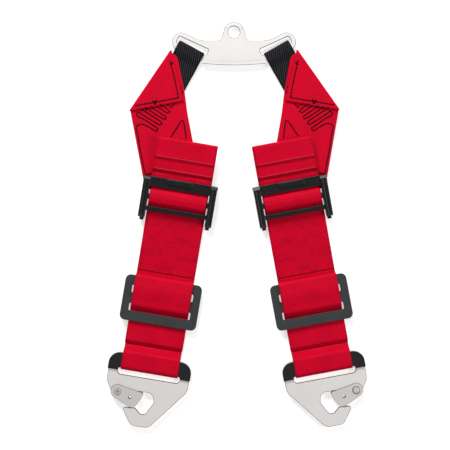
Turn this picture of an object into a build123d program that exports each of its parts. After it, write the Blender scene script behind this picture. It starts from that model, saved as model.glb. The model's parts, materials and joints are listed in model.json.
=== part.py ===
"""Shoulder-strap pair of a racing harness, laid flat: a steel yoke tongue, and on each side a sling,
a folded upper strap, a tilt-lock adjuster, a lower strap with a three-bar slide, and a snap hook."""

import math
import os

from build123d import *

os.makedirs("parts", exist_ok=True)

# ---- driving dimensions, millimetres and degrees --------------------------------------------------

# webbing
web_width = 49.0
web_thick = 1.2
layer_gap = 0.1
sling_width = 24.0
sling_thick = 1.4

# running room between pieces that move on each other
body_gap = 0.3
pivot_gap = 0.05

# yoke tongue
yoke_thick = 2.5
yoke_rest_gap = 0.2
tongue_hole_r = 5.0
tongue_r = 8.8
tongue_foot_half = 11.8
tongue_neck_half = 7.9
tongue_neck_y = 3.9
tongue_fillet = 3.0
yoke_shoulder_half = 23.0
yoke_top_y = -7.3
yoke_bottom_y = -24.2
yoke_slot_x = 35.4
yoke_slot_y = -11.8
yoke_slot_angle = 24.5
yoke_slot_length = sling_width + 4.0
yoke_slot_width = 6.2
yoke_slot_corner = 1.5
yoke_rim = 5.5
yoke_end_wall = 4.2
lip_half = 27.0
lip_bow = 1.5
lip_drop = 2.6
lip_height = 5.0
lip_bend = 1.8

# sling of narrow webbing through each yoke slot
sling_angle = 28.5
sling_length = 81.0
sling_hinge_drop = 5.4
flex_half_gap = 1.0

# upper strap, folded at 45 degrees over the sling
upper_angle = -10.8
upper_x = -64.65
upper_y = -61.8
upper_tip_cut = 4.0
upper_tip_slant = 7.0
upper_side_trim = 1.0

# lower leg line, and where its pieces sit along it from the adjuster's middle
leg_angle = 9.55
leg_x = -47.8
leg_y = -144.3
right_leg_splay = 0.95
strap_flex_v = -60.0
upper_end_v = 26.0
anchor_back_v = 40.0
slide_v = -87.9
hook_v = -150.7
hook_flex_v = hook_v + 22.7
hook_flex_half_gap = 1.4
tail_end_v = hook_v + 25.7

# tilt-lock adjuster, measured along the run strap from the strap flex
run_tilt = 4.8
adjuster_s = 60.0
window_half = web_width / 2 + 1.5
rail_width = 5.6
rail_below = 18.0
rail_above = 17.2
rail_high = 6.4
rail_wall = 1.1
rail_groove = 1.2
rail_groove_depth = 0.8
rail_groove_ends = 6.0
rail_groove_shift = -0.5
rail_foot_drop = 2.2
rail_foot_slope = 2.0
rail_head_slope = 2.4
rail_head_drop = 1.6
ear_length = 7.0
ear_slope = 3.0
ear_rise = 2.0
foot_length = 2.4
foot_width = 3.4
foot_inset = 0.6
foot_drop = 1.0
foot_height = 4.2
anchor_s = 15.5
anchor_r = 1.5
top_bar_low = 9.0
top_bar_high = 17.7
top_bar_thick = 2.0
top_bar_lift = 2 * web_thick + body_gap + 0.4
tab_half = 11.0
tab_depth = 4.2
tab_rise = 1.5
tab_shift = -1.0
tab_inset = 0.6
tab_corner = 1.0
low_bar_low = -11.7
low_bar_high = -7.7
low_bar_thick = 2.4
lock_bar_depth = 5.0
lock_bar_thick = 3.2
lock_bar_s = 0.4
lock_bar_travel = 1.2
lock_bar_hold = 2.2
lock_bar_corner = 1.2
anchor_bar_proud = 0.4
anchor_bar_bevel = 0.35
frame_overlap = 0.2
pull_tab_flex = 23.0
pull_tab_end = 52.6
pull_hem_start = 33.5

# three-bar slide
slide_slot_half = web_width / 2 + 2.0
slide_width = 2 * slide_slot_half + 13.0
slide_height = 39.0
slide_thick = 2.5
slide_stack_gap = 0.3
slide_wrap_gap = 0.45
slide_corner = 4.5
slide_centre_bar = 9.0
slide_slot_height = 6.5
slide_slot_corner = 1.2

# snap hook
hook_thick = 3.0
hook_slot_half = web_width / 2 + 2.3
hook_slot_low = -3.2
hook_slot_high = 3.0
hook_slot_corner = 3.0
hook_bar_top = 12.6
hook_bar_half = hook_slot_half + 6.6
hook_bar_corner = 8.0
hook_side_half = hook_slot_half + 8.1
hook_heel_low = -44.9
cover_thick = 5.8
cover_half = hook_slot_half + 8.7
cover_low = 0.5
cover_mid_low = 2.3
cover_top = 15.2
cover_corner = 9.3
cover_edge_r = 2.0
loop_over_cover = 1.8
loop_turn_r = 2.4
gate_x = -23.8
gate_y = -17.8
gate_boss_r = 5.9
gate_sheet = 1.0
gate_gap = 0.25
gate_spine = 8.0
lug_r = 4.9
rivet_r = 1.5
rivet_head_r = 3.2
rivet_head_high = 1.1
cotter_r = 1.3
spring_pocket_r = 3.0
spring_pocket_deep = 1.5
spring_wire_r = 0.2
spring_r = 2.3
spring_pitch = 0.44
spring_turns = 2.5
# the gate's outline, and its cotter hole, on the hook's own plane
gate_boss_start = 62.0
gate_boss_turn = 185.0
gate_spine_end = (-12.8, -29.3)
gate_tip = (-7.2, -28.4)
gate_nose = (-3.6, -22.0)
gate_cheek = (-2.3, -17.9)
gate_corner = ((-2.6, -16.0), (-4.4, -15.4))
cotter_at = (-12.7, -21.1)
rivet_flare_r = 2.7
rivet_flare_high = 0.77
rivet_cross_length = 2.6
rivet_cross_width = 0.8
rivet_cross_floor = 0.25

# ---- heights and frames ---------------------------------------------------------------------------

# The row's origin is the middle of the tongue hole; the straps lie on a plane below it.
floor_z = -(sling_thick + yoke_rest_gap + yoke_thick / 2)


def strap_frame(x, y, angle, height=0.0):
    """A frame lying on the table: x across the strap, y up the strap, z up, height above the table."""
    a = math.radians(angle)
    return Plane(origin=(x, y, floor_z + height), x_dir=(math.cos(a), -math.sin(a), 0), z_dir=(0, 0, 1))


def side_view(frame, across=0.0):
    """The frame's lengthwise section: x up the strap and y away from its back."""
    origin = frame.from_local_coords(Vector(across, 0, 0))
    return Plane(origin=origin, x_dir=frame.y_dir, z_dir=frame.x_dir)


leg = strap_frame(leg_x, leg_y, leg_angle)
upper = strap_frame(upper_x, upper_y, upper_angle)

slot_turn = math.radians(yoke_slot_angle)
rim_out = yoke_slot_width / 2 + yoke_rim
sling_turn = math.radians(sling_angle)
skew = sling_width / 2 * math.tan(sling_turn - slot_turn)
# the sling's frame starts where its middle line meets the slot's lower edge
sling = strap_frame(
    -yoke_slot_x - yoke_slot_width / 2 * math.sin(slot_turn),
    yoke_slot_y - yoke_slot_width / 2 * math.cos(slot_turn),
    sling_angle,
)

# the run strap climbs from the strap flex towards the adjuster
run_foot = leg.from_local_coords(Vector(0, strap_flex_v, 0))
tilt = math.radians(run_tilt)
run_out = leg.z_dir * math.cos(tilt) - leg.y_dir * math.sin(tilt)
run = Plane(origin=run_foot, x_dir=leg.x_dir, z_dir=run_out)

hook_mid = web_thick + layer_gap + cover_thick / 2
hook = Plane(
    origin=leg.from_local_coords(Vector(0, hook_v, hook_mid)), x_dir=leg.x_dir, z_dir=leg.z_dir
)

# the sling rides over the rim with room for its skew, and flexes just below the rim
sling_top_s = skew + layer_gap + sling_thick / 2
sling_hinge_s = yoke_rim + skew + sling_hinge_drop

low_bar_lift = 2 * web_thick + 2 * body_gap
slide_rest = 3 * web_thick + 2 * layer_gap + slide_stack_gap

anchor_drop = body_gap + web_thick + body_gap + anchor_r
anchor_at = leg.to_local_coords(run.from_local_coords(Vector(0, adjuster_s + anchor_s, -anchor_drop)))


# ---- shared shapes --------------------------------------------------------------------------------


def ribbon(frame, route, bends, thickness, width):
    """Webbing whose middle line follows a route of (along, up) points, with one bend radius a corner."""
    with BuildPart() as strip:
        with BuildSketch(side_view(frame)):
            with BuildLine():
                if bends:
                    FilletPolyline(*route, radius=bends)
                else:
                    Polyline(*route)
            trace(line_width=thickness)
        extrude(amount=width / 2, both=True)
    return strip.part


def slab(frame, points, low, high, corners=0.0):
    """A flat piece of a frame's outline, between two heights, with its upright edges rounded."""
    with BuildPart() as piece:
        with BuildSketch(frame.offset(low)):
            with BuildLine():
                Polyline(*points, close=True)
            make_face()
            if corners:
                fillet(vertices(), radius=corners)
        extrude(amount=high - low)
    return piece.part


def block(frame, left, right, bottom, top, low, high, corner=0.0):
    """A rectangular slab between two places across, two along and two heights of a frame."""
    return slab(frame, [(left, bottom), (right, bottom), (right, top), (left, top)], low, high, corner)


# ---- yoke and slings ------------------------------------------------------------------------------


def build_yoke():
    """Steel tongue plate: a holed lug, two slanted slots, and a lower edge turned up as a stiffener."""
    along = (math.cos(slot_turn), math.sin(slot_turn))
    across = (math.sin(slot_turn), -math.cos(slot_turn))

    def by_slot(run_out_by, drop):
        """A point measured along the right slot from its middle, and down across it."""
        return (
            yoke_slot_x + run_out_by * along[0] + drop * across[0],
            yoke_slot_y + run_out_by * along[1] + drop * across[1],
        )

    half_slot = yoke_slot_length / 2
    head = yoke_slot_width / 2 + yoke_end_wall
    ear_top = by_slot(half_slot - yoke_end_wall, -head)
    ear_end = by_slot(half_slot + yoke_end_wall, 0)
    rim_right = by_slot(half_slot - yoke_end_wall / 2, rim_out)
    rim_left_run = half_slot - yoke_end_wall / 2 - (rim_right[1] - yoke_bottom_y) / along[1]
    rim_left = by_slot(rim_left_run, rim_out)
    edge_y = yoke_bottom_y - lip_drop

    with BuildPart() as yoke:
        with BuildSketch(Plane.XY.offset(-yoke_thick / 2)):
            with BuildLine():
                shoulder = Line((0, yoke_top_y), (yoke_shoulder_half, yoke_top_y))
                rise = Spline(shoulder @ 1, ear_top, tangents=[(1, 0), along])
                ear = ThreePointArc(rise @ 1, ear_end, rim_right)
                rim = Line(ear @ 1, rim_left)
                Line(rim @ 1, (0, yoke_bottom_y))
                mirror(about=Plane.YZ)
            make_face()
            with BuildLine():
                Polyline(
                    (-tongue_neck_half, tongue_neck_y),
                    (-tongue_foot_half, yoke_top_y - 1),
                    (tongue_foot_half, yoke_top_y - 1),
                    (tongue_neck_half, tongue_neck_y),
                    close=True,
                )
            make_face()
            foot = [p for p in vertices() if abs(p.Y - yoke_top_y) < 0.1 and abs(p.X) < yoke_shoulder_half - 1]
            fillet(foot, radius=tongue_fillet)
            Circle(tongue_r)
            for side in (-1, 1):
                with Locations(Location((side * yoke_slot_x, yoke_slot_y), side * yoke_slot_angle)):
                    RectangleRounded(
                        yoke_slot_length, yoke_slot_width, yoke_slot_corner, mode=Mode.SUBTRACT
                    )
            Circle(tongue_hole_r, mode=Mode.SUBTRACT)
        extrude(amount=yoke_thick)
        with BuildSketch(Plane.XY.offset(-yoke_thick / 2)):
            with BuildLine():
                outer = ThreePointArc((-lip_half, edge_y), (0, edge_y - lip_bow), (lip_half, edge_y))
                Polyline(outer @ 1, (lip_half, yoke_bottom_y + 1), (-lip_half, yoke_bottom_y + 1), outer @ 0)
            make_face()
        extrude(amount=yoke_thick)
        with BuildSketch(Plane.XY.offset(yoke_thick / 2)):
            with BuildLine():
                outer = ThreePointArc((-lip_half, edge_y), (0, edge_y - lip_bow), (lip_half, edge_y))
                inner = ThreePointArc(
                    (lip_half, edge_y + yoke_thick),
                    (0, edge_y + yoke_thick - lip_bow),
                    (-lip_half, edge_y + yoke_thick),
                )
                Line(outer @ 1, inner @ 0)
                Line(inner @ 1, outer @ 0)
            make_face()
        extrude(amount=lip_height - yoke_thick)
        fillet(edges().group_by(Axis.Z)[0].sort_by(Axis.Y)[0], radius=lip_bend)
    return yoke.part


def build_sling_loop():
    """Narrow webbing looped over the yoke's rim, up to where the sling flexes."""
    rest = sling_thick / 2
    second = rest + sling_thick + layer_gap
    over = 2 * sling_thick + yoke_thick + 2 * yoke_rest_gap - rest
    end = -sling_hinge_s + flex_half_gap
    return ribbon(
        sling,
        [
            (end, second),
            (end + 1.2, second),
            (end + 3.4, over),
            (sling_top_s, over),
            (sling_top_s, rest),
            (end, rest),
        ],
        [0.9, 0.9, 1.0, 1.0],
        sling_thick,
        sling_width,
    )


def build_sling_tail():
    """The doubled sling below its flex, sewn under the upper strap."""
    top = -sling_hinge_s - flex_half_gap
    half = sling_width / 2
    return block(sling, -half, half, -sling_length, top, 0, 2 * sling_thick + layer_gap)


# ---- upper strap ----------------------------------------------------------------------------------


def build_upper_strap():
    """Wide webbing folded over at 45 degrees, its flap sewn down on its own face."""
    half = web_width / 2
    low = 2 * sling_thick + 2 * layer_gap
    top = low + 2 * web_thick + layer_gap
    tip = 2 * half - upper_tip_cut
    edge = half - upper_side_trim
    foot = -2.4 * web_width
    tip_side = [(edge, tip - upper_tip_slant), (tip - half, tip)]
    with BuildPart() as strap:
        with BuildSketch(upper.offset(low)):
            with BuildLine():
                Polyline((-half, 0), (-half, foot), (edge, foot), *tip_side, close=True)
            make_face()
        extrude(amount=web_thick)
        with BuildSketch(upper.offset(low + web_thick + layer_gap)):
            with BuildLine():
                Polyline((-half, 0), (edge, 0), *tip_side, close=True)
            make_face()
        extrude(amount=web_thick)
        with BuildSketch(upper.offset(low)):
            with BuildLine():
                Polyline(
                    (-half, 0), (-half + web_thick, 0), (tip - half, tip - web_thick), (tip - half, tip),
                    close=True,
                )
            make_face()
        extrude(amount=top - low)
        # the lower end is cut square to the leg, where the anchor loop carries on
        with BuildSketch(leg):
            with Locations((0, upper_end_v)):
                Rectangle(4 * web_width, 4 * web_width, align=(Align.CENTER, Align.MAX))
        extrude(amount=4 * top, mode=Mode.SUBTRACT)
        # the tip stops at the sling's flex
        with BuildSketch(sling):
            with Locations((0, -sling_hinge_s - flex_half_gap)):
                Rectangle(4 * web_width, web_width, align=(Align.CENTER, Align.MIN))
        extrude(amount=4 * top, mode=Mode.SUBTRACT)
    return strap.part


def build_anchor_loop():
    """The upper strap's end, round the adjuster's anchor bar and back underneath."""
    reach = anchor_r + body_gap + web_thick / 2
    strap_mid = 2 * sling_thick + 2 * layer_gap + web_thick / 2
    v, h = anchor_at.Y, anchor_at.Z
    return ribbon(
        leg,
        [
            (anchor_back_v, h - reach),
            (v - reach, h - reach),
            (v - reach, h + reach),
            (v + 1.5, h + reach),
            (upper_end_v - 2, strap_mid),
            (upper_end_v, strap_mid),
        ],
        [0.98 * reach, 0.98 * reach, 3.0, 2.0],
        web_thick,
        web_width,
    )


# ---- tilt-lock adjuster ---------------------------------------------------------------------------


def build_adjuster_frame():
    """Pressed frame: two side rails, a wide top plate with a raised tab, and a lower bar."""
    s = adjuster_s
    foot_end = s - rail_below
    head_end = s + rail_above
    bar_low = -anchor_drop - anchor_r - rail_wall
    with BuildPart() as frame:
        for side in (-1, 1):
            inner = side * window_half
            with BuildSketch(side_view(run, inner)):
                with BuildLine():
                    Polyline(
                        (foot_end, -rail_foot_drop),
                        (s + anchor_s - ear_length, bar_low + ear_rise),
                        (s + anchor_s - ear_length + ear_slope, bar_low),
                        (head_end, bar_low),
                        (head_end, rail_high - rail_head_drop),
                        (head_end - rail_head_slope, rail_high),
                        (foot_end + rail_foot_slope, rail_high),
                        (foot_end, rail_high - rail_foot_slope),
                        close=True,
                    )
                make_face()
            extrude(amount=side * rail_width)
            with BuildSketch(run.offset(rail_high - rail_groove_depth)):
                with Locations((side * (window_half + rail_width / 2), s + rail_groove_shift)):
                    Rectangle(rail_groove, rail_below + rail_above - rail_groove_ends)
            extrude(amount=2 * rail_groove_depth, mode=Mode.SUBTRACT)
            with BuildSketch(run.offset(-foot_drop)):
                with Locations((side * (window_half + foot_width / 2 + foot_inset), foot_end)):
                    Rectangle(foot_width, 2 * foot_length)
            extrude(amount=foot_height)
            # a blind slot in each rail holds the lock bar's end
            with BuildSketch(run.offset(web_thick + layer_gap)):
                with Locations((side * (window_half + lock_bar_hold / 2), s + lock_bar_s)):
                    Rectangle(
                        lock_bar_hold + 2 * frame_overlap,
                        lock_bar_depth + 2 * lock_bar_travel + 2 * body_gap,
                    )
            extrude(amount=lock_bar_thick + 2 * body_gap, mode=Mode.SUBTRACT)
        with BuildSketch(run.offset(top_bar_lift)):
            with Locations((0, s + (top_bar_low + top_bar_high) / 2)):
                Rectangle(2 * (window_half + frame_overlap), top_bar_high - top_bar_low)
        extrude(amount=top_bar_thick)
        with BuildSketch(run.offset(top_bar_lift + top_bar_thick)):
            with Locations((tab_shift, s + top_bar_high - tab_depth / 2 - tab_inset)):
                RectangleRounded(2 * tab_half, tab_depth, tab_corner)
        extrude(amount=tab_rise)
        with BuildSketch(run.offset(low_bar_lift)):
            with Locations((0, s + (low_bar_low + low_bar_high) / 2)):
                Rectangle(2 * (window_half + frame_overlap), low_bar_high - low_bar_low)
        extrude(amount=low_bar_thick)
        with BuildSketch(side_view(run)):
            with Locations((s + anchor_s, -anchor_drop)):
                Circle(anchor_r + pivot_gap / 5)
        extrude(amount=window_half + rail_width, both=True, mode=Mode.SUBTRACT)
    return frame.part


def build_anchor_bar():
    """Round bar riveted across the rails, which the upper strap's end goes round."""
    with BuildPart() as bar:
        with BuildSketch(side_view(run)):
            with Locations((adjuster_s + anchor_s, -anchor_drop)):
                Circle(anchor_r)
        extrude(amount=window_half + rail_width + anchor_bar_proud, both=True)
        chamfer(edges().filter_by(GeomType.CIRCLE), length=anchor_bar_bevel)
    return bar.part


def build_lock_bar():
    """Flat bar under the webbing that grips it against the frame as the strap is pulled."""
    with BuildPart() as bar:
        with BuildSketch(side_view(run)):
            with Locations((adjuster_s + lock_bar_s, web_thick + layer_gap + body_gap + lock_bar_thick / 2)):
                RectangleRounded(lock_bar_depth, lock_bar_thick, lock_bar_corner)
        extrude(amount=window_half + lock_bar_hold - body_gap, both=True)
    return bar.part


def build_lock_wrap():
    """Webbing that rises under the lower bar, goes over the lock bar and dives under the top plate."""
    s = adjuster_s
    under = web_thick * 1.5 + body_gap
    over = web_thick + layer_gap + body_gap + lock_bar_thick + body_gap + web_thick / 2
    clear = lock_bar_depth / 2 + lock_bar_travel + body_gap + web_thick / 2
    return ribbon(
        run,
        [
            (s + low_bar_low - 0.5, under),
            (s + lock_bar_s - clear - 0.6, under),
            (s + lock_bar_s - clear, over),
            (s + lock_bar_s + clear, over),
            (s + lock_bar_s + clear + 0.6, under),
            (s + anchor_s - 2.2, under),
        ],
        [0.8, 1.6, 1.6, 0.8],
        web_thick,
        web_width,
    )


# ---- run strap and pull tab -----------------------------------------------------------------------


def build_run_strap():
    """The adjustable length, from the strap flex up through the adjuster to the pull tab's flex."""
    half = web_width / 2
    return block(run, -half, half, flex_half_gap, adjuster_s + pull_tab_flex - flex_half_gap, 0, web_thick)


def build_pull_tab():
    """The free end, rolled into a sewn hem to pull on."""
    half = web_width / 2
    s = adjuster_s
    with BuildPart() as tab:
        with BuildSketch(run):
            with Locations((0, s + (pull_tab_flex + flex_half_gap + pull_tab_end) / 2)):
                Rectangle(2 * half, pull_tab_end - pull_tab_flex - flex_half_gap)
        extrude(amount=2 * web_thick)
        with BuildSketch(run.offset(2 * web_thick)):
            with Locations((0, s + (pull_hem_start + pull_tab_end) / 2)):
                Rectangle(2 * half, pull_tab_end - pull_hem_start)
        extrude(amount=web_thick)
        across = edges().filter_by(Axis(run.origin, run.x_dir))
        fillet(across.sort_by(Axis(run.origin, run.y_dir))[-2:], radius=web_thick)
    return tab.part


# ---- lower strap and three-bar slide --------------------------------------------------------------


def build_lower_strap():
    """The main layer behind the slide, from the strap flex down to the hook's flex."""
    half = web_width / 2
    return block(leg, -half, half, hook_flex_v + hook_flex_half_gap, strap_flex_v - flex_half_gap, 0, web_thick)


def build_slide():
    """Flat three-bar slide that stops the doubled strap from creeping."""
    with BuildPart() as slide:
        with BuildSketch(leg.offset(slide_rest)):
            with Locations((0, slide_v)):
                RectangleRounded(slide_width, slide_height, slide_corner)
            for side in (-1, 1):
                with Locations((0, slide_v + side * (slide_centre_bar + slide_slot_height) / 2)):
                    RectangleRounded(
                        2 * slide_slot_half, slide_slot_height, slide_slot_corner, mode=Mode.SUBTRACT
                    )
        extrude(amount=slide_thick)
        chamfer(edges().filter_by(GeomType.LINE).group_by(Axis.Z)[-1], length=0.3)
    return slide.part


def build_slide_wrap():
    """The returning layer: up behind the slide, over its top bar, down its face and back out below."""
    second = 1.5 * web_thick + layer_gap
    third = 2.5 * web_thick + 2 * layer_gap
    front = slide_rest + slide_thick + slide_wrap_gap + web_thick / 2
    top = slide_v + slide_height / 2 + slide_wrap_gap + web_thick / 2
    slot_low = slide_v - slide_centre_bar / 2 - slide_slot_height
    return ribbon(
        leg,
        [
            (hook_flex_v + hook_flex_half_gap, second),
            (top, second),
            (top, front),
            (slot_low + 4.0, front),
            (slot_low + 1.2, third),
            (tail_end_v, third),
        ],
        [1.6, 1.6, 1.2, 1.0],
        web_thick,
        web_width,
    )


# ---- snap hook ------------------------------------------------------------------------------------


def build_hook_loop():
    """The strap's turn round the hook's covered bar, below the hook's flex."""
    reach = cover_thick / 2 + layer_gap + web_thick / 2
    low = hook_mid - reach
    second = low + web_thick + layer_gap
    turn = hook_v + cover_mid_low - layer_gap - web_thick / 2
    top = hook_flex_v - hook_flex_half_gap
    over = hook_v + cover_top + loop_over_cover
    return ribbon(
        leg,
        [
            (top, low),
            (turn, low),
            (turn, low + 2 * reach),
            (over, low + 2 * reach),
            (top - 1.0, second),
            (top, second),
        ],
        [loop_turn_r, loop_turn_r, 2.0, 0.9],
        web_thick,
        web_width,
    )


def build_hook_plate():
    """Flat steel hook: a slotted bar for the strap, a throat to clip on with, and a lug for the gate."""
    half_thick = hook_thick / 2
    lug_low = gate_y - lug_r
    # each corner of the edge, with its bend radius: bar, right flank, heel, nose, throat, lug, left flank
    outline = [
        ((-hook_bar_half, hook_bar_top), hook_bar_corner),
        ((hook_bar_half, hook_bar_top), hook_bar_corner),
        ((hook_bar_half, cover_low), 0.3),
        ((hook_side_half, cover_low), 0.3),
        ((hook_side_half, -9.2), 12.0),
        ((7.0, hook_heel_low), 8.0),
        ((-8.1, hook_heel_low), 8.0),
        ((-18.6, -30.4), 2.0),
        ((-7.0, -29.6), 0.8),
        ((0.9, -36.0), 3.6),
        ((8.2, -22.8), 5.0),
        ((6.0, -14.9), 5.5),
        ((-6.0, -15.2), 2.0),
        ((gate_x + lug_r, gate_y + 0.4), 0.8),
        ((gate_x + lug_r, lug_low), 0.95 * lug_r),
        ((gate_x - 2.5, lug_low), 3.0),
        ((-hook_side_half, -10.0), 12.0),
        ((-hook_side_half, cover_low), 0.3),
        ((-hook_bar_half, cover_low), 0.3),
    ]
    with BuildPart() as plate:
        with BuildSketch(hook.offset(-half_thick)):
            with BuildLine():
                FilletPolyline(*[point for point, bend in outline], radius=[r for p, r in outline], close=True)
            make_face()
            with Locations((0, (hook_slot_low + hook_slot_high) / 2)):
                RectangleRounded(
                    2 * hook_slot_half, hook_slot_high - hook_slot_low, hook_slot_corner,
                    mode=Mode.SUBTRACT,
                )
            with Locations((gate_x, gate_y)):
                Circle(rivet_r + pivot_gap, mode=Mode.SUBTRACT)
        extrude(amount=hook_thick)
        with BuildSketch(hook.offset(-half_thick)):
            with Locations((gate_x, gate_y)):
                Circle(spring_pocket_r)
        extrude(amount=spring_pocket_deep, mode=Mode.SUBTRACT)
    return plate.part


def build_hook_cover():
    """Moulded sleeve over the hook's bar, which the webbing turns round."""
    with BuildPart() as cover:
        with BuildSketch(hook.offset(-cover_thick / 2)):
            with BuildLine():
                Polyline(
                    (-cover_half, cover_low), (-cover_half, cover_top), (cover_half, cover_top),
                    (cover_half, cover_low), (hook_slot_half, cover_low), (hook_slot_half, cover_mid_low),
                    (-hook_slot_half, cover_mid_low), (-hook_slot_half, cover_low), close=True,
                )
            make_face()
            fillet([p for p in vertices() if abs(p.Y - cover_top) < 0.1], radius=cover_corner)
        extrude(amount=cover_thick)
        across = edges().filter_by(Axis(hook.origin, hook.x_dir))
        bar_low = hook.from_local_coords(Vector(0, cover_mid_low, 0))
        middle = [e for e in across if abs((e.center() - bar_low).dot(hook.y_dir)) < 0.1]
        fillet(middle, radius=cover_edge_r)
        with BuildSketch(hook.offset(-hook_thick / 2 - pivot_gap)):
            with BuildLine():
                edge = hook_bar_half + pivot_gap
                head = hook_bar_top + pivot_gap
                FilletPolyline(
                    (-edge, head),
                    (edge, head),
                    (edge, cover_low - 1),
                    (-edge, cover_low - 1),
                    radius=[hook_bar_corner, hook_bar_corner, 0.2, 0.2],
                    close=True,
                )
            make_face()
        extrude(amount=hook_thick + 2 * pivot_gap, mode=Mode.SUBTRACT)
    return cover.part


def build_gate():
    """Folded sheet gate: two cheeks outside the plate, joined by a spine along the outer edge."""
    inner = hook_thick / 2 + gate_gap
    outer = inner + gate_sheet
    with BuildPart() as gate:
        with BuildSketch(hook.offset(-outer)):
            with BuildLine():
                boss = CenterArc((gate_x, gate_y), gate_boss_r, gate_boss_start, gate_boss_turn)
                spine = Line(boss @ 1, gate_spine_end)
                tip = Line(spine @ 1, gate_tip)
                end = Spline(tip @ 1, gate_nose, gate_cheek, tangents=[(0.5, 0.85), (0.25, 1)])
                corner = ThreePointArc(end @ 1, *gate_corner)
                Line(corner @ 1, boss @ 0)
            make_face()
            with Locations((gate_x, gate_y)):
                Circle(rivet_r, mode=Mode.SUBTRACT)
            with Locations(cotter_at):
                Circle(cotter_r, mode=Mode.SUBTRACT)
        extrude(amount=2 * outer)
        # room for the plate between the cheeks, all but the spine
        spine_dir = spine % 0
        inward = Vector(-spine_dir.Y, spine_dir.X)
        start = spine @ 1 - spine_dir * gate_spine + inward * gate_sheet
        stop = spine @ 1 + spine_dir * web_width + inward * gate_sheet
        with BuildSketch(hook.offset(-inner)):
            with BuildLine():
                Polyline(
                    start,
                    stop,
                    stop + inward * web_width,
                    start + inward * web_width - spine_dir * web_width,
                    start - inward * web_width - spine_dir * web_width,
                    start - inward * web_width,
                    close=True,
                )
            make_face()
        extrude(amount=2 * inner, mode=Mode.SUBTRACT)
    return gate.part


def build_gate_rivet():
    """Pivot rivet: a domed head on one face and a flared end with a cross-cut on the other."""
    outer = hook_thick / 2 + gate_gap + gate_sheet
    with BuildPart() as rivet:
        with BuildSketch(hook.offset(-outer)):
            with Locations((gate_x, gate_y)):
                Circle(rivet_r)
        extrude(amount=2 * outer)
        with BuildSketch(hook.offset(outer)):
            with Locations((gate_x, gate_y)):
                Circle(rivet_flare_r)
        extrude(amount=rivet_flare_high)
        with BuildSketch(hook.offset(outer + rivet_cross_floor)):
            with Locations((gate_x, gate_y)):
                for turn in (0, 90):
                    Rectangle(rivet_cross_length, rivet_cross_width, rotation=turn)
        extrude(amount=rivet_head_high, mode=Mode.SUBTRACT)
        with BuildSketch(hook.offset(-outer - rivet_head_high)):
            with Locations((gate_x, gate_y)):
                Circle(rivet_head_r)
        extrude(amount=rivet_head_high)
        fillet(edges().filter_by(GeomType.CIRCLE).group_by(Axis.Z)[0], radius=0.9 * rivet_head_high)
    return rivet.part


def build_gate_spring():
    """Torsion spring coiled round the rivet in the plate's pocket."""
    low = -hook_thick / 2 + spring_wire_r + 0.05
    centre = hook.from_local_coords(Vector(gate_x, gate_y, low))
    with BuildPart() as spring:
        with BuildLine(Plane(origin=centre, x_dir=hook.x_dir, z_dir=hook.z_dir)):
            coil = Helix(pitch=spring_pitch, height=spring_pitch * spring_turns, radius=spring_r)
        with BuildSketch(Plane(origin=coil @ 0, z_dir=coil % 0)):
            Circle(spring_wire_r)
        sweep(path=coil, is_frenet=True)
    return spring.part


# ---- the two sides --------------------------------------------------------------------------------


def to_right(piece):
    """The mirrored piece, with the right leg's small extra splay about its yoke slot."""
    other = mirror(piece, about=Plane.YZ)
    return other.rotate(Axis((yoke_slot_x, yoke_slot_y, 0), (0, 0, 1)), right_leg_splay)


def write(piece, name):
    """Labels a finished piece and writes its STEP file."""
    piece.label = name
    export_step(piece, f"parts/{name}.step")


write(build_yoke(), "yoke_plate")

left_loop = build_sling_loop()
write(left_loop, "left_sling_loop")
write(mirror(left_loop, about=Plane.YZ), "right_sling_loop")

strap_pieces = {
    "sling_tail": build_sling_tail,
    "upper_strap": build_upper_strap,
    "anchor_loop": build_anchor_loop,
    "adjuster_frame": build_adjuster_frame,
    "anchor_bar": build_anchor_bar,
    "lock_bar": build_lock_bar,
    "lock_wrap": build_lock_wrap,
    "run_strap": build_run_strap,
    "pull_tab": build_pull_tab,
    "lower_strap": build_lower_strap,
    "three_bar_slide": build_slide,
    "slide_wrap": build_slide_wrap,
    "hook_loop": build_hook_loop,
    "hook_cover": build_hook_cover,
    "hook_gate": build_gate,
}
for name, build in strap_pieces.items():
    piece = build()
    write(to_right(piece), f"right_{name}")
    write(piece, f"left_{name}")

# these have two different faces, and the right hook is the left one turned over
turned_pieces = {
    "hook_plate": build_hook_plate,
    "gate_rivet": build_gate_rivet,
    "gate_spring": build_gate_spring,
}
for name, build in turned_pieces.items():
    piece = build()
    write(to_right(mirror(piece, about=hook)), f"right_{name}")
    write(piece, f"left_{name}")
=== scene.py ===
import json
import math

import bmesh
import bpy
import numpy as np
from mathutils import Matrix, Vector
from mathutils.bvhtree import BVHTree

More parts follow.
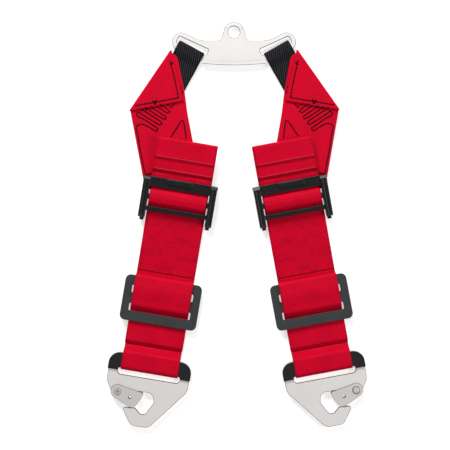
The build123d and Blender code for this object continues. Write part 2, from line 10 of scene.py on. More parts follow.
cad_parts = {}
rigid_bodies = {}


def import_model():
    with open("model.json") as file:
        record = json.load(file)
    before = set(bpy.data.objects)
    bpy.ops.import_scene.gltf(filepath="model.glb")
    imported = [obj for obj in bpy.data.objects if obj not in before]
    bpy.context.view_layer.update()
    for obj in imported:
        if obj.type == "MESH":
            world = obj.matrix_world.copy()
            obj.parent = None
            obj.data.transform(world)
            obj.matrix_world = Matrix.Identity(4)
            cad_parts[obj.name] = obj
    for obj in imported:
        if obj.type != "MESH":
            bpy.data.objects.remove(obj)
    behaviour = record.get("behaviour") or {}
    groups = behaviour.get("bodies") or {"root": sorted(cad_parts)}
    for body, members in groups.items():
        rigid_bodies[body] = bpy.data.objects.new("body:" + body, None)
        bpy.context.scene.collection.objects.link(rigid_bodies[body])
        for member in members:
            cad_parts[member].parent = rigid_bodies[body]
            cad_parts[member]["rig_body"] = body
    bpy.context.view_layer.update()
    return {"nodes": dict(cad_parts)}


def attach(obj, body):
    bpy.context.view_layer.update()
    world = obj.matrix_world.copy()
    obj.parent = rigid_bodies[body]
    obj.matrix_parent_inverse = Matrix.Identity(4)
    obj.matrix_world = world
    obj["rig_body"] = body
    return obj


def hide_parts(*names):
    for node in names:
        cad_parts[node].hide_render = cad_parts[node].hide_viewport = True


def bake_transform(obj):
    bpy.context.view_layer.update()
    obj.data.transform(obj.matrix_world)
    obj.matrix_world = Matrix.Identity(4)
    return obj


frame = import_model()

bl_info = {
    "name": "Racing harness strap set",
    "version": (1, 0, 0),
    "blender": (4, 5, 0),
    "location": "3D View > Sidebar > Harness",
    "description": "Webbing, stitching and finishes of a two-tailed racing harness strap set",
    "category": "Object",
}

MM = 0.001
SIDES = ("left", "right")
FLOOR = -2.85                        # height of the surface the straps lie on
YOKE_FACE = 1.25                     # height of the yoke's upper face
TURN_CENTRE = np.array((35.4, -11.8))
TURN = math.radians(0.95)           # the right strap lies turned this much from a true mirror


# ---------------------------------------------------------------- sizes and colours

class HARNESS_PG_webbing(bpy.types.PropertyGroup):
    width: bpy.props.FloatProperty(
        name="Strap width", description="Width of the red webbing in millimetres",
        default=50.0, min=20.0, max=80.0)
    thickness: bpy.props.FloatProperty(
        name="Strap thickness", description="Thickness of the red webbing in millimetres",
        default=1.2, min=0.5, max=3.0)
    sling_width: bpy.props.FloatProperty(
        name="Sling width", description="Width of the black yoke sling in millimetres",
        default=24.0, min=10.0, max=40.0)
    sling_thickness: bpy.props.FloatProperty(
        name="Sling thickness", description="Thickness of the black sling in millimetres",
        default=1.4, min=0.5, max=3.0)
    red: bpy.props.FloatVectorProperty(
        name="Strap red", description="Colour of the dyed polyester yarn",
        default=(0.72, 0.0002, 0.024), size=3, min=0.0, max=1.0, subtype="COLOR")
    # shade is painted shade: the dark end of the weave's colour mix, laid between the yarns and ribs
    shade: bpy.props.FloatVectorProperty(
        name="Strap shade", description="Colour of the yarn between the ribs",
        default=(0.34, 0.0001, 0.012), size=3, min=0.0, max=1.0, subtype="COLOR")
    black: bpy.props.FloatVectorProperty(
        name="Sling black", description="Colour of the black sling yarn",
        default=(0.016, 0.016, 0.019), size=3, min=0.0, max=1.0, subtype="COLOR")


class HARNESS_PG_stitching(bpy.types.PropertyGroup):
    spacing: bpy.props.FloatProperty(
        name="Stitch spacing", description="Distance from one stitch to the next",
        default=2.5 * MM, min=0.5 * MM, max=10 * MM, subtype="DISTANCE", unit="LENGTH")
    length: bpy.props.FloatProperty(
        name="Stitch length", description="Length of one stitch on the surface",
        default=2.8 * MM, min=0.3 * MM, max=10 * MM, subtype="DISTANCE", unit="LENGTH")
    thread: bpy.props.FloatProperty(
        name="Thread thickness", description="Thickness of the sewing thread",
        default=1.15 * MM, min=0.1 * MM, max=2 * MM, subtype="DISTANCE", unit="LENGTH")


class HARNESS_PG_hardware(bpy.types.PropertyGroup):
    steel: bpy.props.FloatVectorProperty(
        name="Plated steel", description="Colour of the plated yoke and hooks",
        default=(0.88, 0.845, 0.825), size=3, min=0.0, max=1.0, subtype="COLOR")
    black: bpy.props.FloatVectorProperty(
        name="Black parts", description="Colour of the adjuster and slide",
        default=(0.0065, 0.0070, 0.0085), size=3, min=0.0, max=1.0, subtype="COLOR")


# ---------------------------------------------------------------- shader expressions

class Wire:
    """One shader output that takes part in Python arithmetic."""

    def __init__(self, shader, socket):
        self.shader, self.socket = shader, socket

    def _math(self, operation, a, b=0.0):
        node = self.shader.node("ShaderNodeMath", {"operation": operation}, {0: a, 1: b})
        return Wire(self.shader, node.outputs[0])

    def __add__(self, other): return self._math("ADD", self, other)
    def __radd__(self, other): return self._math("ADD", other, self)
    def __sub__(self, other): return self._math("SUBTRACT", self, other)
    def __rsub__(self, other): return self._math("SUBTRACT", other, self)
    def __mul__(self, other): return self._math("MULTIPLY", self, other)
    def __rmul__(self, other): return self._math("MULTIPLY", other, self)
    def sine(self): return self._math("SINE", self)
    def size(self): return self._math("ABSOLUTE", self)
    def zigzag(self, reach): return self._math("PINGPONG", self, reach)
    def above(self, low, high):
        """0 below low, 1 above high, smooth between."""
        node = self.shader.node(
            "ShaderNodeMapRange", {"interpolation_type": "SMOOTHSTEP"},
            {"Value": self, "From Min": low, "From Max": high})
        return Wire(self.shader, node.outputs[0])


class Shader:
    """A material whose nodes are written as expressions."""

    def __init__(self, name):
        self.material = bpy.data.materials.new(name)
        self.material.use_nodes = True
        self.tree = self.material.node_tree
        self.surface = self.tree.nodes["Principled BSDF"]

    def node(self, kind, settings=None, values=None):
        made = self.tree.nodes.new(kind)
        for key, value in (settings or {}).items():
            setattr(made, key, value)
        for key, value in (values or {}).items():
            if isinstance(value, Wire):
                self.tree.links.new(value.socket, made.inputs[key])
            else:
                made.inputs[key].default_value = value
        return made

    def wire(self, kind, settings=None, values=None, output=0):
        return Wire(self, self.node(kind, settings, values).outputs[output])

    def place(self):
        """Object coordinates in metres."""
        return self.wire("ShaderNodeTexCoord", output="Object")

    def strap_place(self):
        """Distance across and along the strap in millimetres."""
        flat = self.wire("ShaderNodeUVMap", {"uv_map": "strap"})
        split = self.node("ShaderNodeSeparateXYZ", None, {0: flat})
        return Wire(self, split.outputs[0]) * 1000.0, Wire(self, split.outputs[1]) * 1000.0, flat

    def noise(self, place, scale, detail=2.0, roughness=0.5, stretch=None):
        if stretch:
            place = self.wire("ShaderNodeMapping", None, {0: place, 3: stretch})
        return self.wire("ShaderNodeTexNoise", None,
                         {"Vector": place, "Scale": scale, "Detail": detail, "Roughness": roughness})

    def mix(self, factor, a, b):
        node = self.node("ShaderNodeMix", {"data_type": "RGBA"}, {0: factor, 6: a, 7: b})
        return Wire(self, node.outputs[2])

    def bump(self, height, strength, distance):
        return self.wire("ShaderNodeBump", None,
                         {"Strength": strength, "Distance": distance, "Height": height})

    def finish(self, **sockets):
        for key, value in sockets.items():
            name = key.replace("_", " ")
            if isinstance(value, Wire):
                self.tree.links.new(value.socket, self.surface.inputs[name])
            else:
                self.surface.inputs[name].default_value = value
        return self.material


def rgba(colour, gain=1.0):
    return (colour[0] * gain, colour[1] * gain, colour[2] * gain, 1.0)


def weave(shader, rib, pick, stripe):
    """Height of a herringbone weave: rib and pick are its pitches, stripe the width of a chevron."""
    across, along, flat = shader.strap_place()
    slant = across.zigzag(stripe)
    twill = ((along + slant * 0.8) * (2 * math.pi / pick)).sine()
    warp = (across * (2 * math.pi / rib)).sine()
    yarn = shader.noise(flat, 2600.0, 2.0, 0.6)
    return across, along, flat, twill * 0.30 + warp * 0.22 + yarn * 0.5 + 0.25


EDGE_DARKENING = (1.6, 0.7)                # the darkening towards each edge starts and is full this far in (mm)
DOT_GAP, DOT_ROW, DOT_BAND = 3.1, 2.3, 13.0    # pitch of the dots across, along and in bands


def webbing_material(name, bright, dark, half_width, dotted=False, ribs=None):
    """Woven cloth. dotted adds pressed dots, ribs slanting ribs that far apart (mm)."""
    s = Shader(name)
    across, along, flat, height = weave(s, rib=0.95, pick=1.15, stripe=3.2)
    cloud = s.noise(flat, 70.0, 3.0, 0.55)
    fleck = s.noise(flat, 900.0, 1.0, 0.5, (1.0, 0.35, 1.0))
    tone = height * 0.55 + cloud * 0.35 + fleck * 0.25
    if dotted:
        dot_a = (across * (2 * math.pi / DOT_GAP)).sine()
        dot_b = (along * (2 * math.pi / DOT_ROW)).sine()
        patch = s.noise(flat, 160.0, 0.0, 0.5)
        rows = (along * (2 * math.pi / DOT_BAND)).sine().above(-0.25, 0.15)
        dots = (dot_a * dot_b).above(0.25, 0.8) * patch.above(0.42, 0.58) * rows
        tone = tone - dots * 0.55
        height = height + dots * 2.2
    if ribs:
        rib = ((across + along * 0.75) * (2 * math.pi / ribs)).sine()
        # The ribs' colour follows their height: painted shade in the grooves, lighter on the crests
        tone = tone * 0.4 + rib * 0.45 + 0.2
        height = height * 0.5 + rib * 1.2
    edge_darkening = across.size().above(half_width - EDGE_DARKENING[0], half_width - EDGE_DARKENING[1])
    # Painted shade: the dark colour fills the low places of the weave and ribs between the yarns;
    # cloud and fleck add random tone
    colour = s.mix(tone.above(0.15, 0.95), rgba(dark), rgba(bright))
    # The colour turns darker towards both edges of the strap
    colour = s.mix(edge_darkening * 0.35, colour, rgba(dark, 0.8))
    return s.finish(
        Base_Color=colour,
        Roughness=0.55 + height * 0.16,
        Normal=s.bump(height, 0.55, 0.12 * MM),
        Specular_IOR_Level=0.06,
    )


def thread_material(name, colour):
    s = Shader(name)
    lay = s.noise(s.place(), 3500.0, 2.0)
    return s.finish(
        Base_Color=s.mix(lay, rgba(colour, 0.6), rgba(colour, 1.25)),
        Roughness=0.5 + lay * 0.25,
        Normal=s.bump(lay, 0.5, 0.08 * MM),
        Specular_IOR_Level=0.08,
    )


def steel_material(name, colour, roughness, scratch=0.25):
    s = Shader(name)
    place = s.place()
    grain = s.noise(place, 420.0, 3.0, 0.6, (1.0, 14.0, 14.0))
    cloud = s.noise(place, 45.0, 2.0, 0.5)
    marks = s.noise(place, 900.0, 1.0, 0.5, (0.12, 1.0, 1.0)).above(0.62, 0.75)
    tone = cloud * 0.6 + grain * 0.4
    return s.finish(
        Base_Color=s.mix(tone, rgba(colour, 0.92), rgba(colour, 1.06)),
        Metallic=0.45,
        Specular_IOR_Level=0.3,
        Roughness=roughness + grain * 0.105 + marks * (scratch * 0.3),
        Normal=s.bump(grain + marks * 0.4, 0.10, 0.05 * MM),
    )


def plastic_material(name, colour, roughness, shine):
    s = Shader(name)
    place = s.place()
    grain = s.noise(place, 1400.0, 2.0, 0.6)
    rub = s.noise(place, 60.0, 3.0, 0.55)
    return s.finish(
        Base_Color=s.mix(rub, rgba(colour, 0.85), rgba(colour, 1.35)),
        Roughness=roughness + rub * 0.14 + grain * 0.06,
        Normal=s.bump(grain, 0.25, 0.05 * MM),
        Specular_IOR_Level=shine,
    )


# ---------------------------------------------------------------- places on the part

class StrapPlane:
    """The left strap's local plane: u across, v along, h up from the surface it lies on (mm)."""

    def __init__(self, origin, across):
        self.origin = np.array((origin[0], origin[1], FLOOR))
        self.across = np.array((across[0], across[1], 0.0))
        self.along = np.array((-across[1], across[0], 0.0))
        self.up = np.array((0.0, 0.0, 1.0))

    def at(self, u, v, h):
        u, v, h = (np.asarray(x, float)[..., None] for x in (u, v, h))
        return self.origin + self.across * u + self.along * v + self.up * h


SLING = StrapPlane((-36.686, -14.621), (0.8788, -0.4772))
UPPER = StrapPlane((-64.65, -61.8), (0.9823, 0.1874))
LEG = StrapPlane((-47.8, -144.3), (0.9861, -0.1659))
CLIMB = math.asin(0.0837)            # slope of the run strap up to the adjuster
CLIMB_START = -60.0                  # where that slope starts along the leg


def climbing(s, z):
    """A point s along and z above the sloping run strap, as (v, h) on the leg."""
    return (CLIMB_START + s * math.cos(CLIMB) - z * math.sin(CLIMB),
            s * math.sin(CLIMB) + z * math.cos(CLIMB))


def placed(points, side):
    """Left strap points (mm) as finished places (m) on that side."""
    points = np.array(points, float).reshape(-1, 3)
    if side == "right":
        points[:, 0] *= -1
        x, y = (points[:, :2] - TURN_CENTRE).T
        c, s = math.cos(TURN), math.sin(TURN)
        points[:, 0] = TURN_CENTRE[0] + c * x - s * y
        points[:, 1] = TURN_CENTRE[1] + s * x + c * y
    return points * MM


def place_of(plane, u, v, h, side):
    return tuple(float(c) for c in placed(plane.at(u, v, h), side)[0])


# ---------------------------------------------------------------- webbing

def rounded_route(points, radii, step=1.6, arc_step=0.35):
    """A route of straight runs joined by arcs, as closely spaced (v, h) points."""
    points = [np.array(p, float) for p in points]
    line = [points[0]]

    def run_to(target):
        start = line[-1]
        count = max(1, int(np.linalg.norm(target - start) / step))
        line.extend(start + (target - start) * (n + 1) / count for n in range(count))

    for k in range(1, len(points) - 1):
        before, corner, after = points[k - 1], points[k], points[k + 1]
        a = (before - corner) / np.linalg.norm(before - corner)
        b = (after - corner) / np.linalg.norm(after - corner)
        half = math.acos(max(-1.0, min(1.0, float(a @ b)))) / 2
        reach = radii[k - 1] / math.tan(half)
        run_to(corner + a * reach)
        middle = (a + b) / np.linalg.norm(a + b)
        centre = corner + middle * radii[k - 1] / math.sin(half)
        first, last = corner + a * reach - centre, corner + b * reach - centre
        turn = math.atan2(first[0] * last[1] - first[1] * last[0], float(first @ last))
        count = max(3, int(abs(turn) * radii[k - 1] / arc_step))
        for n in range(1, count + 1):
            t = turn * n / count
            c, s = math.cos(t), math.sin(t)
            line.append(centre + np.array((c * first[0] - s * first[1], s * first[0] + c * first[1])))
    run_to(points[-1])
    return np.array(line)


def spread_across(low, high, count=26):
    """Column places across a strap, closer together at its two edges, and each one's share of
    the thickness."""
    inner = np.linspace(low + 0.6, high - 0.6, count)
    columns = np.concatenate(([low, low + 0.14], inner, [high - 0.14, high]))
    share = np.concatenate(([0.0, 0.70], np.ones(count), [0.70, 0.0]))
    return columns, share


def ripple(u, along, depth, seed):
    """Slow unevenness of a laid strap, in millimetres."""
    a = np.sin(along / 7.3 + seed) * np.cos(u / 11.0 + 0.7 * seed)
    b = np.sin(along / 17.0 + 1.9 * seed + u / 23.0)
    c = np.sin(u / 4.1 + along / 29.0 + seed * 0.6)
    return depth * (0.45 * a + 0.55 * b + 0.16 * c)


def skin(middle, share, thickness, uv):
    """A closed strap round a grid of middle points: (points, faces, uv of each point)."""
    rows, columns = middle.shape[:2]
    down = np.gradient(middle, axis=0)
    over = np.gradient(middle, axis=1)
    normal = np.cross(over, down)
    normal /= np.maximum(np.linalg.norm(normal, axis=2, keepdims=True), 1e-9)
    lift = normal * (thickness / 2) * share[None, :, None]
    top = (middle + lift).reshape(-1, 3)
    low = (middle - lift)[:, 1:-1].reshape(-1, 3)
    points = np.concatenate((top, low))
    flat = np.concatenate((uv.reshape(-1, 2), uv[:, 1:-1].reshape(-1, 2)))
    faces = []

    def upper(i, j):
        return i * columns + j

    def lower(i, j):
        if j in (0, columns - 1):
            return upper(i, j)
        return rows * columns + i * (columns - 2) + j - 1

    for i in range(rows - 1):
        for j in range(columns - 1):
            faces.append((upper(i, j), upper(i, j + 1), upper(i + 1, j + 1), upper(i + 1, j)))
            faces.append((lower(i, j), lower(i + 1, j), lower(i + 1, j + 1), lower(i, j + 1)))
    for i in (0, rows - 1):
        for j in range(columns - 1):
            ring = []
            for corner in (upper(i, j), upper(i, j + 1), lower(i, j + 1), lower(i, j)):
                if corner not in ring:
                    ring.append(corner)
            faces.append(tuple(ring))
    return points, faces, flat


def broken_edges(name, node, width, finish, edge_finish, inside=None):
    """A copy of a frame part with its sharp edges slightly rounded, as from tumbling or a mould.
    inside, if given, is how far across and how low (mm) the rounded edges may lie."""
    work = bmesh.new()
    work.from_mesh(node.data)
    bmesh.ops.remove_doubles(work, verts=work.verts, dist=0.001 * MM)
    bmesh.ops.dissolve_degenerate(work, edges=work.edges, dist=0.01 * MM)
    sharp = [e for e in work.edges
             if len(e.link_faces) == 2 and e.calc_face_angle(0.0) > math.radians(35)]
    if inside:
        across, low = inside[0] * MM, inside[1] * MM
        sharp = [e for e in sharp if all(
            v.co.y > low or (abs(v.co.x) < across and abs(v.co.z - YOKE_FACE * MM) < 0.01 * MM)
            for v in e.verts)]
    bmesh.ops.bevel(work, geom=sharp, offset=width * MM, offset_type="OFFSET", segments=2, profile=0.5,
                    affect="EDGES", clamp_overlap=False, loop_slide=False)
    bmesh.ops.recalc_face_normals(work, faces=work.faces)
    mesh = bpy.data.meshes.new(name)
    # Faces that tilt away from straight up take the edge finish; on the plated parts that is the dark
    # painted edge shade
    for face in work.faces:
        face.material_index = 0 if abs(face.normal.z) > 0.93 else 1
        face.smooth = False
    work.to_mesh(mesh)
    work.free()
    mesh.materials.append(finish)
    mesh.materials.append(edge_finish)
    made = bpy.data.objects.new(name, mesh)
    bpy.context.scene.collection.objects.link(made)
    return made


class Cloth:
    """Closed strap shells gathered in the left strap's millimetres."""

    def __init__(self):
        self.points, self.faces, self.flat = np.zeros((0, 3)), [], np.zeros((0, 2))

    def add(self, middle, share, thickness, uv):
        points, faces, flat = skin(middle, share, thickness, uv)
        start = len(self.points)
        self.points = np.concatenate((self.points, points))
        self.flat = np.concatenate((self.flat, flat))
        self.faces += [tuple(v + start for v in face) for face in faces]
        return self

    def sweep(self, plane, route, radii, width, thickness, centre=0.0, depth=0.1, seed=0.0,
              shape=None, count=26):
        """Adds a strap that follows a (v, h) route on a plane."""
        line = rounded_route(route, radii)
        columns, share = spread_across(-width / 2, width / 2, count)
        steps = np.linalg.norm(np.diff(line, axis=0), axis=1)
        along = np.concatenate(([0.0], np.cumsum(steps)))
        tangent = np.gradient(line, axis=0)
        tangent /= np.linalg.norm(tangent, axis=1, keepdims=True)
        u = np.broadcast_to(columns + centre, (len(line), len(columns))).copy()
        s = np.broadcast_to(along[:, None], u.shape)
        wave = ripple(u, s, depth, seed)
        if shape is not None:
            extra_u, extra_n = shape(u, s)
            u, wave = u + extra_u, wave + extra_n
        v = line[:, :1] - tangent[:, 1:] * wave
        h = line[:, 1:] + tangent[:, :1] * wave
        self.length = along[-1] - along[0]
        return self.add(plane.at(u, v, h), share, thickness, np.stack((u - centre, s), axis=2) * MM)

    def tree(self):
        return BVHTree.FromPolygons([tuple(p) for p in self.points], self.faces)

    def make(self, name, side, material):
        mesh = bpy.data.meshes.new(name)
        mesh.from_pydata([tuple(p) for p in placed(self.points, side)], [], self.faces)
        layer = mesh.uv_layers.new(name="strap")
        index = np.zeros(len(mesh.loops), np.int32)
        mesh.loops.foreach_get("vertex_index", index)
        layer.data.foreach_set("uv", self.flat[index].astype(np.float32).ravel())
        mesh.materials.append(material)
        made = bpy.data.objects.new(name, mesh)
        bpy.context.scene.collection.objects.link(made)
        work = bmesh.new()
        work.from_mesh(mesh)
        bmesh.ops.remove_doubles(work, verts=work.verts, dist=0.002 * MM)
        bmesh.ops.recalc_face_normals(work, faces=work.faces)
        for face in work.faces:
            face.smooth = True
        work.to_mesh(mesh)
        work.free()
        return made


# ---------------------------------------------------------------- stitches

def stitch_tree():
    """Geometry Nodes: a row of raised stitches along each curve."""
    tree = bpy.data.node_groups.new("Stitch row", "GeometryNodeTree")
    add = tree.interface.new_socket
    add("Seam", in_out="INPUT", socket_type="NodeSocketGeometry")
    sizes = {}
    for label, value in (("Spacing", 2.5 * MM), ("Stitch length", 2.2 * MM), ("Thread", 0.7 * MM)):
        socket = add(label, in_out="INPUT", socket_type="NodeSocketFloat")
        socket.default_value, socket.min_value = value, 0.0001
        sizes[label] = socket.identifier
    sizes["Finish"] = add("Finish", in_out="INPUT", socket_type="NodeSocketMaterial").identifier
    add("Stitches", in_out="OUTPUT", socket_type="NodeSocketGeometry")
    node, link = tree.nodes.new, tree.links.new
    given, result = node("NodeGroupInput"), node("NodeGroupOutput")
    spaced = node("GeometryNodeResampleCurve")
    spaced.mode = "LENGTH"
    bead = node("GeometryNodeMeshUVSphere")
    bead.inputs["Segments"].default_value = 8
    bead.inputs["Rings"].default_value = 6
    bead.inputs["Radius"].default_value = 0.5
    size = node("ShaderNodeCombineXYZ")
    tangent = node("GeometryNodeInputTangent")
    aim = node("FunctionNodeAlignRotationToVector")
    aim.axis = "X"
    sew = node("GeometryNodeInstanceOnPoints")
    real = node("GeometryNodeRealizeInstances")
    paint = node("GeometryNodeSetMaterial")
    smooth = node("GeometryNodeSetShadeSmooth")
    link(given.outputs["Seam"], spaced.inputs["Curve"])
    link(given.outputs["Spacing"], spaced.inputs["Length"])
    link(given.outputs["Stitch length"], size.inputs[0])
    link(given.outputs["Thread"], size.inputs[1])
    link(given.outputs["Thread"], size.inputs[2])
    link(tangent.outputs[0], aim.inputs["Vector"])
    link(spaced.outputs[0], sew.inputs["Points"])
    link(bead.outputs["Mesh"], sew.inputs["Instance"])
    link(aim.outputs[0], sew.inputs["Rotation"])
    link(size.outputs[0], sew.inputs["Scale"])
    link(sew.outputs[0], smooth.inputs[0])
    link(smooth.outputs[0], real.inputs[0])
    link(real.outputs[0], paint.inputs[0])
    link(given.outputs["Finish"], paint.inputs["Material"])
    link(paint.outputs[0], result.inputs[0])
    return tree, sizes


def sew(name, rows, side, material, options, tree_and_ids, spacing=1.0, thread=1.0):
    """Stitches along the rows, each a list of left-strap points (mm); one plain mesh."""
    tree, ids = tree_and_ids
    curve = bpy.data.curves.new(name + "_seam", "CURVE")
    curve.dimensions = "3D"
    for row in rows:
        line = placed(row, side)
        spline = curve.splines.new("POLY")
        spline.points.add(len(line) - 1)
        for point, place in zip(spline.points, line):
            point.co = (*place, 1.0)
    seam = bpy.data.objects.new(name + "_seam", curve)
    bpy.context.scene.collection.objects.link(seam)
    modifier = seam.modifiers.new("Stitches", "NODES")
    modifier.node_group = tree
    modifier[ids["Spacing"]] = options.spacing * spacing
    modifier[ids["Stitch length"]] = options.length * spacing
    modifier[ids["Thread"]] = options.thread * thread
    modifier[ids["Finish"]] = material
    bpy.context.view_layer.update()
    ready = seam.evaluated_get(bpy.context.evaluated_depsgraph_get())
    mesh = bpy.data.meshes.new_from_object(ready)
    bpy.data.objects.remove(seam)
    if len(mesh.polygons) == 0:
        raise RuntimeError(f"{name}: the seam gave no stitches")
    mesh.name = name
    made = bpy.data.objects.new(name, mesh)
    bpy.context.scene.collection.objects.link(made)
    return made


def on_cloth(plane, tree, path, lift, step=0.6):
    """A path of (u, v) points on a plane, dropped onto the cloth below it."""
    line = []
    for (ua, va), (ub, vb) in zip(path[:-1], path[1:]):
        count = max(1, int(math.hypot(ub - ua, vb - va) / step))
        for n in range(count):
            t = n / count
            line.append((ua + (ub - ua) * t, va + (vb - va) * t))
    line.append(path[-1])
    found = []
    for u, v in line:
        above = plane.at(u, v, 40.0)
        hit = tree.ray_cast(Vector(above), Vector((0, 0, -1)))[0]
        if hit is not None:
            found.append((hit.x, hit.y, hit.z + lift))
    return found


def curved(path, passes):
    """Rounds the corners of a (u, v) path, more with each pass."""
    points = [np.array(p, float) for p in path]
    for _ in range(passes):
        fresh = [points[0]]
        for a, b in zip(points[:-1], points[1:]):
            fresh += [a * 0.8 + b * 0.2, a * 0.2 + b * 0.8]
        fresh.append(points[-1])
        points = fresh
    return [tuple(p) for p in points]


# ---------------------------------------------------------------- shapes of the straps

LOCK_WIDTH = 49.0                    # webbing width inside the adjuster's rails
HOOK_WIDTH = 49.2                    # webbing width inside the hook's cover


def sling_cloth(options):
    """The black sling: up over the yoke's lower rim, through its slot and back underneath."""
    route = ((-80.0, 2.2), (-12.6, 2.2), (-6.0, 5.0), (1.64, 5.0), (1.64, 0.7), (-80.0, 0.7))

    def settle(u, s):
        middle = np.exp(-((s - 66.0) / 9.0) ** 2)
        return u * 0.02 * middle, 0.0

    return Cloth().sweep(SLING, route, (9.0, 6.0, 1.9, 1.9), options.sling_width,
                         options.sling_thickness, depth=0.06, seed=1.3, shape=settle, count=18)


FOLD = 23.1                          # where the 45 degree fold crosses the strap's middle
FOLD_RADIUS = 0.68
LAYER = 3.62                         # height of the lower layer's middle
FOOT = -117.0                        # the strap's lower end
SLANT_START = -52.0                  # above this its rows turn towards the slanting fold
FLAP = 48.0                          # what the folded end adds to the strap's flat length


def strap_foot(q):
    """How far down the upper strap reaches at each place across: to just above the anchor bar."""
    lean = UPPER.along @ LEG.along
    side = UPPER.across @ LEG.along
    start = (UPPER.origin - LEG.origin) @ LEG.along
    foot = (25.0 - start - q * side) / lean
    return foot - 5.6 * np.clip((-14.5 - q) / 3.0, 0.0, 1.0)


def upper_cloth(options):
    """The red upper strap, its end folded over at 45 degrees and laid back on itself."""
    cloth = Cloth()
    low, high = -24.6, 23.9
    arc = math.pi * FOLD_RADIUS * math.sqrt(2)
    unit, share = spread_across(0.0, high - low)
    unit = unit / (high - low)
    rows = []
    for v in np.linspace(FOOT, SLANT_START, 37):
        rows.append((v, 0.0))
    for t in np.linspace(0.0, 1.0, 44):
        rows.append((SLANT_START + (FOLD - 2.0 - SLANT_START) * t, t * t * (3 - 2 * t)))
    grid_u, grid_v, grid_h, flat = [], [], [], []

    def right_edge(v_right):
        t = min(1.0, max(0.0, (v_right - 30.0) / 13.0))
        return high - 0.9 * min(1.0, max(0.0, (2.0 - v_right) / 14.0)) - 4.2 * t * t

    for v0, slant in rows:
        edge = right_edge(v0 + slant * 22.0)
        q = low + unit * (edge - low)
        v = v0 + slant * q
        if slant == 0.0:
            part = (v0 - FOOT) / (SLANT_START - FOOT)
            v = strap_foot(q) * (1 - part) + v0 * part
        grid_u.append(q)
        grid_v.append(v)
        grid_h.append(LAYER + ripple(q, v, 0.16, 2.1) * np.clip((FOLD - 6 - v0) / 8, 0, 1))
        flat.append(np.stack((q, v), axis=1))
    edge = right_edge(44.0)
    q = low + unit * (edge - low)
    for d in np.linspace(0.0, math.pi * FOLD_RADIUS, 12):
        turn = d / FOLD_RADIUS
        away = FOLD_RADIUS * math.sin(turn) / math.sqrt(2)
        grid_u.append(q - away)
        grid_v.append(q + FOLD + away)
        grid_h.append(np.full_like(q, LAYER + FOLD_RADIUS * (1 - math.cos(turn))))
        flat.append(np.stack((q, q + FOLD + d * math.sqrt(2)), axis=1))
    flap_v = q + FOLD
    end = 21.6 - 2.4 * np.clip(flap_v / 40.0, 0.0, 1.1) ** 2
    reach = np.maximum(end - q, 0.9)
    for t in np.linspace(0.0, 1.0, 34)[1:]:
        u = q + reach * t
        grid_u.append(u)
        grid_v.append(flap_v)
        pucker = 0.16 * np.exp(-((flap_v - 3.0) / 3.0) ** 2) + 0.14 * np.exp(-((u - 17.6) / 2.2) ** 2)
        rise = ripple(u, flap_v, 0.10, 4.4) + 0.18 - pucker
        grid_h.append(LAYER + 2 * FOLD_RADIUS + rise * min(1.0, t * 4))
        flat.append(np.stack((q, q + FOLD + arc + reach * t), axis=1))
    middle = UPPER.at(np.array(grid_u), np.array(grid_v), np.array(grid_h))
    cloth.length = FLAP - FOOT
    cloth.add(middle, share, options.thickness, np.array(flat) * MM)
    return cloth


def anchor_cloth(options):
    """The end of the upper strap, taken round the adjuster's anchor bar."""
    route = ((38.0, 0.63), (13.11, 0.63), (13.11, 5.43), (17.01, 5.43), (24.0, 2.3), (38.0, 2.3))
    return Cloth().sweep(LEG, route, (2.3, 2.3, 1.6, 1.6), options.width - 1.0, options.thickness,
                         depth=0.03, seed=0.4)


def tab_cloth(options):
    """The free end: out over the adjuster, turned back on itself and sewn down as a pull tab."""
    steps = ((72.0, 0.6), (111.3, 0.6), (111.3, 3.05), (94.8, 3.05), (93.0, 1.85), (83.2, 1.85))
    cloth = Cloth()

    def puckers(u, s):
        seam = np.exp(-((s - 55.1) / 1.3) ** 2)
        return 0.0, -0.22 * seam * (s > 42)

    cloth.sweep(LEG, [climbing(*p) for p in steps], (1.22, 1.22, 1.4, 1.4), options.width + 2.0,
                options.thickness, centre=0.2, depth=0.05, seed=3.0, shape=puckers)
    inner = ((95.6, 1.82), (109.0, 1.82))
    length = cloth.length
    cloth.sweep(LEG, [climbing(*p) for p in inner], (), options.width - 1.0,
                options.thickness * 0.8, centre=0.2, depth=0.0)
    cloth.length += length
    return cloth


def run_cloth(options):
    """The working length from the adjuster down to behind the slide."""
    route = (climbing(81.5, 0.6), climbing(0.0, 0.6), (-90.0, 0.6))
    return Cloth().sweep(LEG, route, (40.0,), options.width, options.thickness, depth=0.10, seed=5.2)


def lock_cloth(options):
    """The webbing's turn over the lock bar inside the adjuster."""
    steps = ((47.9, 2.05), (52.4, 2.05), (56.5, 5.8), (60.5, 6.5), (64.5, 5.8), (68.0, 2.05),
             (73.3, 2.05))
    return Cloth().sweep(LEG, [climbing(*p) for p in steps], (1.6, 3.0, 6.0, 3.0, 1.3), LOCK_WIDTH,
                         options.thickness, depth=0.05, seed=2.2)


def wrap_cloth(options):
    """The webbing's return through the slide, over its upper and middle bars."""
    route = ((-126.6, 1.9), (-67.2, 1.9), (-67.2, 7.75), (-93.4, 7.75), (-98.0, 3.2), (-125.0, 3.2))

    def crown(u, s):
        on_top = np.cos(np.clip((s - 75.0) / 13.0, -1.0, 1.0) * math.pi / 2) ** 2
        return 0.0, -1.3 * on_top

    return Cloth().sweep(LEG, route, (2.7, 2.7, 4.2, 1.4), options.width, options.thickness,
                         depth=0.06, seed=6.1, shape=crown)


def hook_cloth(options):
    """The lower run, round the hook's bar and back up to the slide."""
    route = ((-84.0, 0.6), (-149.1, 0.6), (-149.1, 7.8), (-133.9, 7.8), (-130.2, 1.9), (-127.6, 1.9))
    return Cloth().sweep(LEG, route, (3.4, 3.4, 2.2, 1.4), HOOK_WIDTH, options.thickness,
                         depth=0.05, seed=7.7)


